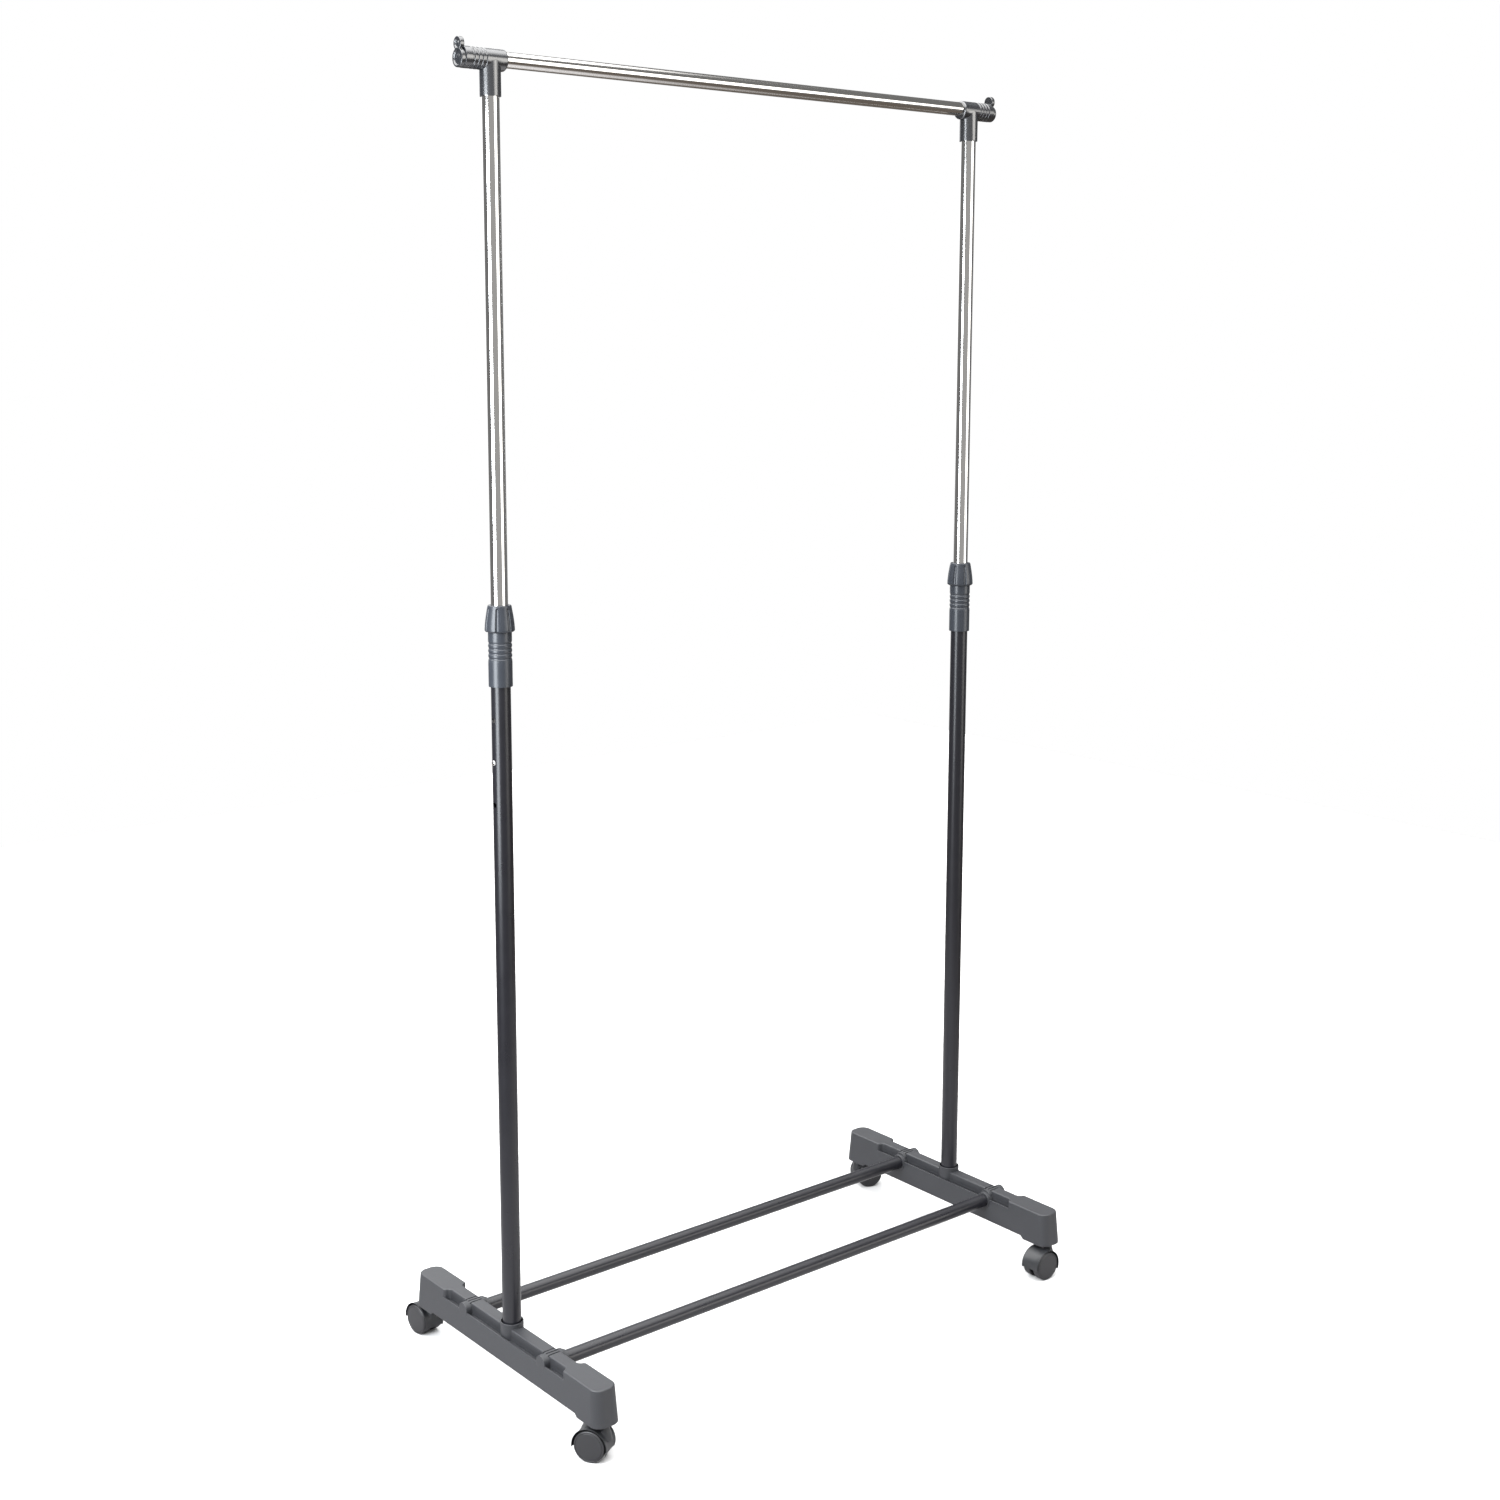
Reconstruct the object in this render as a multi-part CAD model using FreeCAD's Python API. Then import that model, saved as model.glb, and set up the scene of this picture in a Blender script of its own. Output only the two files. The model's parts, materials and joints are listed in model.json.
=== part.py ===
"""Double-upright garment rail on casters: every sub-part is its own solid.

Millimetres, +Z up. The origin is on the floor, midway between the two uprights.
X runs along the hanging rail, -Y is the front. Left is -X.
"""
import FreeCAD
import Part
import math
import os

V = FreeCAD.Vector
X_AXIS = V(1, 0, 0)
Z_AXIS = V(0, 0, 1)

# ---- Driving dimensions -------------------------------------------------
UPRIGHT_X = 359.2          # half the distance between the upright axes
RAIL_Z = 1512.4            # height of the hanging rail's axis
LOWER_R = 11.0             # lower upright, outer radius
LOWER_WALL = 1.2
UPPER_R = 9.5              # upper upright, outer radius
UPPER_WALL = 1.0
RAIL_R = 8.5               # hanging rail, outer radius
RAIL_WALL = 1.0
BAR_R = 8.4                # base bar, outer radius
BAR_WALL = 1.0
BAR_Y = 83.0               # base bars stand this far in front and behind
BAR_Z = 72.0

# Feet
FOOT_BOTTOM_Z = 46.4       # middle of the foot
FOOT_END_Z = 42.4          # the deeper ends that hold the casters
FOOT_TOP_Z = 85.4
LEDGE_Z = 75.4             # floor of the side recesses
FOOT_HALF_X = 17.6         # at the bottom; the walls have draft
FOOT_HALF_Y = 195.0
FOOT_TOP_HALF_X = 15.7
FOOT_TOP_HALF_Y = 191.5
FOOT_CORNER_R = 12.5
FOOT_WALL = 2.6
STRIP_HALF_X = 8.3         # raised middle strip between the recesses
RECESS_HALF_Y = 131.0
SHOULDER_LENGTH = 11.0     # S curve from the strip to the full width
END_BLOCK_Y = 157.0
END_SLANT = 4.5
COLLAR_R = 13.3
COLLAR_TOP_Z = 91.4
TUBE_SEAT_Z = 58.0         # where the lower upright stands in the foot
BOSS_R = 8.7               # closed boss on the outer side, over the bar's end
RING_R = 11.4              # raised ring on the inner side, round the bar
GROOVE_PITCH = 5.0
CASTER_Y = 185.8
SCREW_R = 1.5              # screw that holds a base bar, from below
SCREW_LENGTH = 15.0
SCREW_Z = BAR_Z - 17.0
BAR_REACH = FOOT_TOP_HALF_X - 2.4

# Height adjuster
NUT_Z = 902.4
NUT_H = 29.4
NUT_R = 16.75              # widest, just above the rounded lower edge
NUT_TOP_R = 13.2
NUT_BORE_GAP = 0.45        # between the nut's lip and the upper upright
FLUTES = 7
FLUTE_R = 2.2
SLEEVE_Z = 841.2
SLEEVE_R = 13.35
SLEEVE_STEP = 0.15         # the ringed upper part is this much thinner
SLEEVE_STEP_DROP = 33.0    # where it starts, below the nut
GROOVE_DROP = 12.6         # the first ring groove, below the nut
GROOVES = 4
SLEEVE_GROOVE_PITCH = 5.6
SPIGOT_R = 12.3            # the sleeve's spigot, inside the nut
COLLET_Z = NUT_Z + 14.0
COLLET_H = 11.0
COLLET_GAP = 0.3           # between the open collet and the nut's cone
TUBE_TOP_Z = NUT_Z - 3.0
HOLE_R = 3.1
HOLE_Z = 755.5             # the hole that the snap button sits in
HOLE_PITCH = 48.0
BUTTON_R = 3.0
BUTTON_FLANGE_R = 3.8
BUTTON_BACK_X = 6.4        # the button's back, from the upright's axis
BUTTON_PROUD = 1.3         # past the lower upright's outside
UPPER_TUBE_Z = HOLE_Z - 16.0

# T connector
SOCKET_R = 11.5
SOCKET_DROP = 39.0         # socket mouth below the rail's axis
BARREL_R = 11.4
BARREL_DROP = 1.2          # the barrel is a little lower than the rail's axis
BARREL_IN = 17.0           # towards the middle of the rail
BARREL_OUT = 35.0
BARREL_IN_ROUND = 2.0
BARREL_OUT_ROUND = 1.2
RIB_FIRST = 10.5           # first groove of the ribbed part, from the upright's axis
RIB_PITCH = 5.03
RIB_COUNT = 4
RIB_WIDTH = 2.4
RIB_DEPTH = 0.9
RAIL_OUT = 29.0            # the rail's end, past the upright's axis
UPPER_TOP_Z = RAIL_Z - RAIL_R - 2.0

# End cap
CAP_T = 5.0
CAP_DISC_R = 10.0
CAP_DISC_Z = RAIL_Z - 2.4
CAP_TAB_R = 7.2
CAP_TAB_Z = RAIL_Z + 12.0
CAP_RIM = 2.4              # rim left round the shallow dish in each disc
CAP_PLUG = 8.0             # length of the plug inside the rail

# Casters
WHEEL_R = 18.5
WHEEL_IN = 3.2             # a wheel's inner and outer faces, from the middle
WHEEL_OUT = 14.0
HOOD_R = 21.1              # at its two rims
HOOD_WAIST_R = 20.0        # between them
HOOD_HALF = 13.5
HOOD_RIM = 1.2
HOOD_LIP = 0.7             # wall thickness at the rims
WHEEL_ROOM_R = 19.2
SKIRT_Z = 10.5             # the hood's lower edge on the stem's side
TAIL_Z = 16.0              # and on the trailing side
TRAIL = 14.0
AXLE_R = 2.5
STEM_R = 3.5
STEM_BASE_Z = 35.0
STEM_TOP_Z = 74.0
STEM_RING_R = STEM_R + 0.6
NECK_R = 5.4               # the hood's boss round the stem
NECK_TOP_Z = FOOT_END_Z - 0.4
CASTER_SOCKET_R = 6.0
RUNNING = 0.05             # radial clearance of a turning fit

SIDES = (("left", -1), ("right", 1))
# Where each caster swivels, and the way its wheels trail, in degrees from +X
CASTERS = (
    ("left_front", -1, -1, 122.0),
    ("left_rear", -1, 1, 96.0),
    ("right_front", 1, -1, 180.0),
    ("right_rear", 1, 1, -22.0),
)


# ---- Helpers ------------------------------------------------------------
def cylinder(radius, length, base, direction=Z_AXIS):
    return Part.makeCylinder(radius, length, base, direction)


def tube(outer, inner, length, base, direction=Z_AXIS):
    return cylinder(outer, length, base, direction).cut(cylinder(inner, length, base, direction))


def box(low, high):
    size = [b - a for a, b in zip(low, high)]
    return Part.makeBox(size[0], size[1], size[2], V(*low))


def revolve(profile):
    """Solid of revolution about Z from (radius, height) points."""
    points = [V(r, 0, z) for r, z in profile]
    face = Part.Face(Part.makePolygon(points + points[:1]))
    return face.revolve(V(0, 0, 0), Z_AXIS, 360)


def polygon_prism(points, direction):
    return Part.Face(Part.makePolygon(points + points[:1])).extrude(direction)


def torus_cut(shape, radius, depth, width, height):
    """Cuts one round-bottomed ring groove about the Z axis at a height."""
    section = (width ** 2 / 4 + depth ** 2) / (2 * depth)
    return shape.cut(Part.makeTorus(radius - depth + section, section, V(0, 0, height)))


def along_x(shape, sign):
    """Turns a piece made about Z so that its +Z points along X by sign."""
    turned = shape.copy()
    turned.rotate(V(0, 0, 0), V(0, 1, 0), 90 * sign)
    return turned


def moved(shape, x=0.0, y=0.0, z=0.0):
    placed = shape.copy()
    placed.translate(V(x, y, z))
    return placed


def outward(shape, sign):
    """Places a piece made at the origin, with +X outward, on one upright's axis."""
    turned = shape.copy()
    if sign < 0:
        turned.rotate(V(0, 0, 0), Z_AXIS, 180)
    return moved(turned, x=sign * UPRIGHT_X)


def edges_at(shape, height, tolerance=0.01):
    return [
        e for e in shape.Edges
        if abs(e.BoundBox.ZMin - height) < tolerance and abs(e.BoundBox.ZMax - height) < tolerance
    ]


# ---- Feet ---------------------------------------------------------------
def rounded_outline(half_x, half_y, radius, height):
    """Closed wire: a rectangle with round corners, level at one height."""
    parts = []
    x, y = half_x - radius, half_y - radius
    corners = ((x, y, 0), (-x, y, 90), (-x, -y, 180), (x, -y, 270))
    for i, (cx, cy, start) in enumerate(corners):
        arc = Part.Circle(V(cx, cy, height), Z_AXIS, radius)
        a, b = math.radians(start), math.radians(start + 90)
        parts.append(Part.ArcOfCircle(arc, a, b).toShape())
        nx, ny, turn = corners[(i + 1) % 4]
        end = V(cx + radius * math.cos(b), cy + radius * math.sin(b), height)
        start_next = V(nx + radius * math.cos(math.radians(turn)),
                       ny + radius * math.sin(math.radians(turn)), height)
        parts.append(Part.makeLine(end, start_next))
    return Part.Wire(parts)


def foot_block(inset, low, high):
    """The drafted block of the foot, drawn in by inset, between two heights."""
    draft = FOOT_TOP_Z - FOOT_END_Z
    wires = []
    for z in (low, high):
        t = (z - FOOT_END_Z) / draft
        half_x = FOOT_HALF_X + t * (FOOT_TOP_HALF_X - FOOT_HALF_X) - inset
        half_y = FOOT_HALF_Y + t * (FOOT_TOP_HALF_Y - FOOT_HALF_Y) - inset
        wires.append(rounded_outline(half_x, half_y, FOOT_CORNER_R - inset, z))
    return Part.makeLoft(wires, True, True)


def recess_cutter():
    """Everything beside the strip on the +X side, ending in an S curve at both ends."""
    inner, outer = STRIP_HALF_X, FOOT_TOP_HALF_X + 0.6
    rise = outer - inner
    bend = (rise ** 2 + SHOULDER_LENGTH ** 2) / (4 * rise)
    turn = math.asin(SHOULDER_LENGTH / 2 / bend)
    start_y = RECESS_HALF_Y - SHOULDER_LENGTH
    middle = V(inner + rise / 2, start_y + SHOULDER_LENGTH / 2, LEDGE_Z)
    first = V(inner + bend * (1 - math.cos(turn / 2)), start_y + bend * math.sin(turn / 2), LEDGE_Z)
    last = V(outer - bend * (1 - math.cos(turn / 2)), RECESS_HALF_Y - bend * math.sin(turn / 2), LEDGE_Z)
    a, b = V(inner, start_y, LEDGE_Z), V(outer, RECESS_HALF_Y, LEDGE_Z)
    curves = [Part.Arc(a, first, middle).toShape(), Part.Arc(middle, last, b).toShape()]
    flip = [c.mirror(V(0, 0, 0), V(0, 1, 0)) for c in curves]
    far = FOOT_HALF_X + 5
    corner_up, corner_down = V(far, RECESS_HALF_Y, LEDGE_Z), V(far, -RECESS_HALF_Y, LEDGE_Z)
    lines = [
        Part.makeLine(V(inner, -start_y, LEDGE_Z), a),
        Part.makeLine(b, corner_up),
        Part.makeLine(corner_up, corner_down),
        Part.makeLine(corner_down, V(outer, -RECESS_HALF_Y, LEDGE_Z)),
    ]
    wire = Part.Wire(Part.__sortEdges__(curves + flip + lines))
    return Part.Face(wire).extrude(V(0, 0, FOOT_TOP_Z - LEDGE_Z + 10))


def foot_shell():
    """Outer form: drafted block, deeper ends, side recesses, rounded top edge."""
    block = foot_block(0, FOOT_END_Z, FOOT_TOP_Z)
    y, rise = END_BLOCK_Y, FOOT_BOTTOM_Z - FOOT_END_Z
    low = FOOT_END_Z - 1
    slope = END_SLANT / rise
    under = [
        V(-30, -y - slope, low), V(-30, y + slope, low),
        V(-30, y - END_SLANT, FOOT_BOTTOM_Z), V(-30, -y + END_SLANT, FOOT_BOTTOM_Z),
    ]
    block = block.cut(polygon_prism(under, V(60, 0, 0)))
    cutter = recess_cutter()
    block = block.cut(cutter).cut(cutter.mirror(V(0, 0, 0), V(1, 0, 0)))
    return block.makeFillet(1.6, edges_at(block, FOOT_TOP_Z))


def foot_hollow():
    """The open space under the foot, less the pillars, blocks and ribs that stay."""
    roof = LEDGE_Z - FOOT_WALL
    crown = FOOT_TOP_Z - FOOT_WALL
    hollow = foot_block(FOOT_WALL, FOOT_END_Z - 1, roof)
    strip = box((-STRIP_HALF_X + 2.4, -150, roof - 1), (STRIP_HALF_X - 2.4, 150, crown))
    hollow = hollow.fuse(strip)
    paddles = foot_block(FOOT_WALL, roof - 1, crown)
    middle = box((-30, -RECESS_HALF_Y - 3, 0), (30, RECESS_HALF_Y + 3, 200))
    hollow = hollow.fuse(paddles.cut(middle))
    keep = [cylinder(COLLAR_R + 1, 60, V(0, 0, FOOT_BOTTOM_Z))]
    for side in (-1, 1):
        keep.append(cylinder(9.5, 60, V(0, side * CASTER_Y, FOOT_END_Z)))
        keep.append(box((-30, side * BAR_Y - 12, BAR_Z - 15), (30, side * BAR_Y + 12, 100)))
        for rib_y in (40, 110, 140, 166):
            keep.append(box((-30, side * rib_y - 1, FOOT_BOTTOM_Z + 2), (30, side * rib_y + 1, 100)))
    keep.append(box((-1, -CASTER_Y, FOOT_BOTTOM_Z + 6), (1, CASTER_Y, 100)))
    for piece in keep:
        hollow = hollow.cut(piece)
    return hollow


def make_foot():
    """One foot about the upright's axis, with its outer side towards +X."""
    foot = foot_shell()
    boss_x = STRIP_HALF_X - 1
    boss_z = FOOT_TOP_Z - BOSS_R
    for side in (-1, 1):
        y = side * BAR_Y
        for face, reach in ((1, FOOT_TOP_HALF_X + 0.4), (-1, FOOT_TOP_HALF_X - 0.6)):
            base = V(face * boss_x, y, boss_z)
            boss = cylinder(BOSS_R, reach - boss_x, base, X_AXIS * face)
            low = V(min(face * boss_x, face * reach), y - BOSS_R, LEDGE_Z - 3)
            web = Part.makeBox(reach - boss_x, 2 * BOSS_R, boss_z - LEDGE_Z + 3, low)
            foot = foot.fuse(boss).fuse(web)
        ring_x = FOOT_TOP_HALF_X + 1.9
        ring = cylinder(RING_R, ring_x - boss_x, V(-ring_x, y, BAR_Z), X_AXIS)
        foot = foot.fuse(ring)
    collar = cylinder(COLLAR_R, COLLAR_TOP_Z - LEDGE_Z + 6, V(0, 0, LEDGE_Z - 6))
    collar = collar.makeChamfer(0.6, edges_at(collar, COLLAR_TOP_Z))
    foot = foot.fuse(collar).removeSplitter()
    foot = foot.cut(foot_hollow())
    for side in (-1, 1):
        for n in (-1, 0, 1):
            y = side * BAR_Y + n * GROOVE_PITCH
            foot = foot.cut(box((-STRIP_HALF_X, y - 0.7, FOOT_TOP_Z - 1.1), (STRIP_HALF_X, y + 0.7, 100)))
        foot = foot.cut(cylinder(BAR_R, 40, V(BAR_REACH - 40, side * BAR_Y, BAR_Z), X_AXIS))
        foot = foot.cut(cylinder(CASTER_SOCKET_R, 36, V(0, side * CASTER_Y, FOOT_END_Z - 1)))
        foot = foot.cut(bar_screw(side))
        foot = foot.cut(cylinder(2 * SCREW_R + 0.2, 20, V(0, side * BAR_Y, SCREW_Z - 17)))
    foot = foot.cut(cylinder(LOWER_R, 60, V(0, 0, TUBE_SEAT_Z)))
    foot = foot.cut(cylinder(LOWER_R + 0.7, 5, V(0, 0, COLLAR_TOP_Z - 2)))
    foot = foot.cut(cylinder(2.0, 20, V(0, 0, FOOT_BOTTOM_Z - 1)))
    return foot.cut(cylinder(4.2, 5, V(0, 0, FOOT_BOTTOM_Z - 1)))


# ---- Base bars and lower uprights ---------------------------------------
def bar_screw(side):
    """Self-tapping screw that holds a base bar from below, pan head down."""
    shank = cylinder(SCREW_R, SCREW_LENGTH, V(0, side * BAR_Y, SCREW_Z))
    head = cylinder(2 * SCREW_R, 2.0, V(0, side * BAR_Y, SCREW_Z - 2.0))
    return shank.fuse(head).removeSplitter()


def make_base_bar(side):
    reach = UPRIGHT_X + BAR_REACH
    bar = tube(BAR_R, BAR_R - BAR_WALL, 2 * reach, V(-reach, side * BAR_Y, BAR_Z), X_AXIS)
    for sign in (-1, 1):
        bar = bar.cut(moved(bar_screw(side), x=sign * UPRIGHT_X))
    return bar


def make_lower_tube(sign):
    """Black upright with three adjustment holes on its outer side."""
    base = V(sign * UPRIGHT_X, 0, TUBE_SEAT_Z)
    pipe = tube(LOWER_R, LOWER_R - LOWER_WALL, TUBE_TOP_Z - TUBE_SEAT_Z, base)
    for n in (-1, 0, 1):
        at = V(sign * UPRIGHT_X, 0, HOLE_Z + n * HOLE_PITCH)
        pipe = pipe.cut(cylinder(HOLE_R, LOWER_R + 3, at, X_AXIS * sign))
    return pipe


def make_tube_plug(sign):
    """Plug in the foot of the lower upright, for the screw from below."""
    return tube(LOWER_R - LOWER_WALL, 2.0, 22, V(sign * UPRIGHT_X, 0, TUBE_SEAT_Z))


def make_upright_screw(sign):
    x = sign * UPRIGHT_X
    shank = cylinder(2.0, 24, V(x, 0, FOOT_BOTTOM_Z + 4))
    head = cylinder(4.1, 2.4, V(x, 0, FOOT_BOTTOM_Z + 1.6))
    slot = box((x - 0.5, -2.6, FOOT_BOTTOM_Z), (x + 0.5, 2.6, FOOT_BOTTOM_Z + 2.6))
    cross = box((x - 2.6, -0.5, FOOT_BOTTOM_Z), (x + 2.6, 0.5, FOOT_BOTTOM_Z + 2.6))
    return shank.fuse(head).removeSplitter().cut(slot).cut(cross)


# ---- Height adjuster ----------------------------------------------------
def make_sleeve():
    """Plastic sleeve over the lower upright's top, about Z."""
    top, step_z = NUT_Z - 0.4, NUT_Z - SLEEVE_STEP_DROP
    thin = SLEEVE_R - SLEEVE_STEP
    bore = UPPER_R + 0.2
    profile = [
        (LOWER_R, SLEEVE_Z), (SLEEVE_R - 0.7, SLEEVE_Z), (SLEEVE_R, SLEEVE_Z + 0.7),
        (SLEEVE_R, step_z), (thin, step_z + 0.4), (thin, top), (SPIGOT_R, top),
        (SPIGOT_R, COLLET_Z), (bore, COLLET_Z), (bore, TUBE_TOP_Z), (LOWER_R, TUBE_TOP_Z),
    ]
    sleeve = revolve(profile)
    for n in range(GROOVES):
        sleeve = torus_cut(sleeve, thin, 0.95, 3.8, NUT_Z - GROOVE_DROP - SLEEVE_GROOVE_PITCH * n)
    return sleeve


def make_collet():
    """Split ring with a tapered outside, squeezed on the upper upright by the nut."""
    inner, outer = UPPER_R + RUNNING, SPIGOT_R - COLLET_GAP
    top = COLLET_Z + COLLET_H
    ring = revolve([(inner, COLLET_Z), (outer, COLLET_Z), (outer, COLLET_Z + 2),
                    (inner + 1.05, top), (inner, top)])
    ring = ring.cut(box((-1, 0, COLLET_Z - 1), (1, 20, top + 1)))
    for n in range(1, 4):
        slit = box((-0.6, 0, COLLET_Z + 3), (0.6, 20, top + 1))
        slit.rotate(V(0, 0, 0), Z_AXIS, 90 * n)
        ring = ring.cut(slit)
    return ring


def make_nut():
    """Tapered lock nut with flutes and a rounded lower edge."""
    z, top = NUT_Z, NUT_Z + NUT_H
    bore, lip = SPIGOT_R + 0.1, UPPER_R + NUT_BORE_GAP
    wide, edge, shoulder = V(NUT_R, 0, z + 2), V(NUT_R - 1.85, 0, z), V(NUT_TOP_R, 0, top - 0.8)
    outside = [
        Part.makeLine(V(bore, 0, z), edge),
        Part.Arc(edge, V(NUT_R - 0.5, 0, z + 0.5), wide).toShape(),
        Part.Arc(wide, V(NUT_R - 0.85, 0, z + NUT_H / 2), shoulder).toShape(),
        Part.makeLine(shoulder, V(NUT_TOP_R - 0.6, 0, top)),
    ]
    cone_low, cone_top = COLLET_Z + 1.5, COLLET_Z + COLLET_H + 1.5
    inside = [(NUT_TOP_R - 0.6, top), (lip, top), (lip, cone_top + 0.9),
              (lip + 0.95, cone_top), (bore, cone_low), (bore, z)]
    points = [V(r, 0, height) for r, height in inside]
    lines = [Part.makeLine(a, b) for a, b in zip(points, points[1:])]
    nut = Part.Face(Part.Wire(Part.__sortEdges__(outside + lines))).revolve(V(0, 0, 0), Z_AXIS, 360)
    lean = math.degrees(math.atan2(NUT_R - NUT_TOP_R, NUT_H))
    flute = cylinder(FLUTE_R, NUT_H + 7, V(0, 0, -7)).fuse(Part.makeSphere(FLUTE_R, V(0, 0, NUT_H)))
    flute.rotate(V(0, 0, 0), V(0, 1, 0), -lean)
    flute.translate(V(NUT_R + 1.0, 0, z - 4.5))
    for n in range(FLUTES):
        cut = flute.copy()
        cut.rotate(V(0, 0, 0), Z_AXIS, 360 / FLUTES * n)
        nut = nut.cut(cut)
    return nut


# ---- Upper frame --------------------------------------------------------
def make_upper_tube(sign):
    base = V(sign * UPRIGHT_X, 0, UPPER_TUBE_Z)
    pipe = tube(UPPER_R, UPPER_R - UPPER_WALL, UPPER_TOP_Z - UPPER_TUBE_Z, base)
    return pipe.cut(cylinder(HOLE_R, UPPER_R + 3, V(sign * UPRIGHT_X, 0, HOLE_Z), X_AXIS * sign))


def make_guide_bush():
    """Bush on the upper upright's foot that centres it in the lower one."""
    top, length = UPPER_TUBE_Z, 6.0
    bore, seat = 5.5, UPPER_R - UPPER_WALL
    flange = LOWER_R - LOWER_WALL - 0.08
    return revolve([(bore, top - length), (flange - 0.6, top - length), (flange, top - length + 1),
                    (flange, top), (seat, top), (seat, top + 4), (bore, top + 4)])


def make_snap_button():
    """Round button with a domed tip and a stop flange, along +X from the axis."""
    tip, back, r = LOWER_R + BUTTON_PROUD, BUTTON_BACK_X, BUTTON_R
    profile = [(0, back), (BUTTON_FLANGE_R, back), (BUTTON_FLANGE_R, back + 1), (r, back + 1),
               (r, tip - 1.0), (r - 0.5, tip - 0.4), (r - 1.4, tip), (0, tip)]
    return moved(along_x(revolve(profile), 1), z=HOLE_Z)


def make_snap_spring():
    """Leaf bent into a V: one leg behind the button, one on the far wall."""
    t, half, z = 0.5, 2.6, HOLE_Z
    front_x, wall_x = BUTTON_BACK_X, -7.6
    top, knee, foot = z + 7, z - 5, z - 13
    outside = [V(front_x, -half, top), V(front_x, -half, knee), V(0.6, -half, foot),
               V(-0.2, -half, foot), V(wall_x, -half, top)]
    inside = [V(wall_x + t, -half, top), V(0.1, -half, foot + 2 * t), V(0.5, -half, foot + 2 * t),
              V(front_x - t, -half, knee + 0.2), V(front_x - t, -half, top)]
    return polygon_prism(outside + inside, V(0, 2 * half, 0))


def make_t_connector():
    """Connector at the origin of the upright's axis, outward along +X."""
    centre_z = RAIL_Z - BARREL_DROP
    barrel = cylinder(BARREL_R, BARREL_IN + BARREL_OUT, V(-BARREL_IN, 0, centre_z), X_AXIS)
    for x, radius in ((-BARREL_IN, BARREL_IN_ROUND), (BARREL_OUT, BARREL_OUT_ROUND)):
        rim = [e for e in barrel.Edges
               if abs(e.BoundBox.XMin - x) < 0.01 and e.BoundBox.XLength < 0.01]
        barrel = barrel.makeFillet(radius, rim)
    for n in range(RIB_COUNT):
        at = V(RIB_FIRST + RIB_PITCH * n - RIB_WIDTH / 2, 0, centre_z)
        barrel = barrel.cut(tube(BARREL_R + 2, BARREL_R - RIB_DEPTH, RIB_WIDTH, at, X_AXIS))
    socket = cylinder(SOCKET_R, SOCKET_DROP - BARREL_DROP, V(0, 0, RAIL_Z - SOCKET_DROP))
    body = barrel.fuse(socket).removeSplitter()
    body = body.cut(cylinder(RAIL_R, 90, V(-BARREL_IN - 5, 0, RAIL_Z), X_AXIS))
    return body.cut(cylinder(UPPER_R, SOCKET_DROP, V(0, 0, UPPER_TOP_Z - SOCKET_DROP)))


def make_end_cap():
    """Cap over the barrel's end, with an upstanding stop in a figure-of-eight outline."""
    discs = ((CAP_DISC_R, CAP_DISC_Z), (CAP_TAB_R, CAP_TAB_Z))
    out = BARREL_OUT + CAP_T
    body = box((BARREL_OUT, -4.6, CAP_DISC_Z + 4), (out, 4.6, CAP_TAB_Z))
    for radius, z in discs:
        body = body.fuse(cylinder(radius, CAP_T, V(BARREL_OUT, 0, z), X_AXIS))
    body = body.removeSplitter()
    rim = [e for e in body.Edges if abs(e.BoundBox.XMin - out) < 0.01 and e.BoundBox.XLength < 0.01]
    body = body.makeFillet(0.9, rim)
    for radius, z in discs:
        body = body.cut(cylinder(radius - CAP_RIM, 3, V(out - 1.0, 0, z), X_AXIS))
    start = RAIL_OUT - CAP_PLUG
    plug = cylinder(RAIL_R - RAIL_WALL, BARREL_OUT - start, V(start, 0, RAIL_Z), X_AXIS)
    return body.fuse(plug).removeSplitter()


def make_rail():
    reach = UPRIGHT_X + RAIL_OUT
    return tube(RAIL_R, RAIL_R - RAIL_WALL, 2 * reach, V(-reach, 0, RAIL_Z), X_AXIS)


# ---- Casters: made at the swivel axis, wheels trailing towards +X ---------
def make_caster_socket():
    """Bush pressed in the foot, open below, that the stem turns in."""
    body = cylinder(CASTER_SOCKET_R, 33, V(0, 0, FOOT_END_Z + 2))
    bore = cylinder(STEM_R + RUNNING, STEM_TOP_Z + 0.4 - FOOT_END_Z, V(0, 0, FOOT_END_Z))
    groove = cylinder(STEM_RING_R + 0.3, 2.4, V(0, 0, STEM_TOP_Z - 6.2))
    return body.cut(bore).cut(groove)


def make_stem():
    """Steel stem with a retaining ring near its top and a domed end."""
    top, r = STEM_TOP_Z, STEM_R
    return revolve([(0, STEM_BASE_Z), (r, STEM_BASE_Z), (r, top - 5.8), (STEM_RING_R, top - 5.5),
                    (STEM_RING_R, top - 4.5), (r, top - 4.2), (r, top - 1.2), (r - 1.2, top), (0, top)])


def on_axle(shape):
    """Turns a piece made about Z on to the wheels' axle."""
    turned = shape.copy()
    turned.rotate(V(0, 0, 0), X_AXIS, -90)
    return moved(turned, x=TRAIL, z=WHEEL_R)


def hood_flare():
    """Outer profile of the hood, waisted between its rims, as (radius, place along the axle)."""
    inner = HOOD_HALF - HOOD_RIM
    steps = [n / 6 for n in range(-6, 7)]
    flare = [(HOOD_WAIST_R + (HOOD_R - HOOD_WAIST_R) * abs(t) ** 3, inner * t) for t in steps]
    return [(0, -HOOD_HALF), (HOOD_R, -HOOD_HALF)] + flare + [(HOOD_R, HOOD_HALF), (0, HOOD_HALF)]


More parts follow.
